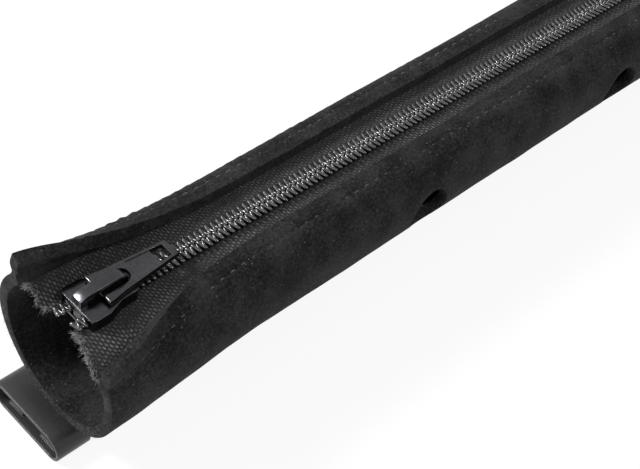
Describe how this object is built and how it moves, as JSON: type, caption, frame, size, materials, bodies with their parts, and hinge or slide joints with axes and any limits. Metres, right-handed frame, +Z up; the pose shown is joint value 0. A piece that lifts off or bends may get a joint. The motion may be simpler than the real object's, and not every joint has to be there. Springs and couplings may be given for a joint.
{
  "type": "zippered cable sleeve",
  "caption": "Soft tubular cable sleeve closed along its top by a coil zip, with cable exit holes along one side and a flat oval anchor loop under its mouth.",
  "frame": {"origin": "centre of the bounding box's lowest face: on the surface that the anchor loop stands on, at the middle of the sleeve's length", "axes": "+X along the sleeve from its open mouth, where the slider waits, to its closed end; +Z up out of the zip; the cable exit holes face -Y"},
  "size_m": [0.4874, 0.0386, 0.0459],
  "materials": {
    "neoprene": "matt black knit face on closed-cell foam",
    "zip_tape": "matt black ribbed woven tape",
    "zip_coil": "semi-gloss black nylon monofilament",
    "seam_thread": "matt black twisted thread",
    "black_nickel": "glossy black nickel over die-cast zinc",
    "loop_plastic": "satin black moulded plastic"
  },
  "bodies": {
    "sleeve": {"sleeve_wall": "neoprene", "zip_tape_far": "zip_tape", "zip_tape_near": "zip_tape", "coil_far": "zip_coil", "coil_near": "zip_coil", "seam_far": "seam_thread", "seam_near": "seam_thread", "end_stop": "black_nickel", "anchor_loop": "loop_plastic"},
    "slider": {"slider_body": "black_nickel"},
    "pull": {"pull_tab": "black_nickel"}
  },
  "joints": [
    {"name": "zip_slide", "type": "slide", "parent": "sleeve", "child": "slider", "axis": [1, 0, 0], "range_m": [0, 0.4505], "deforming": ["coil_far", "coil_near"]},
    {"name": "pull_hinge", "type": "hinge", "parent": "slider", "child": "pull", "pos_m": [-0.2267, 0, 0.0397], "axis": [0, -1, 0], "range_deg": [0, 180]}
  ]
}
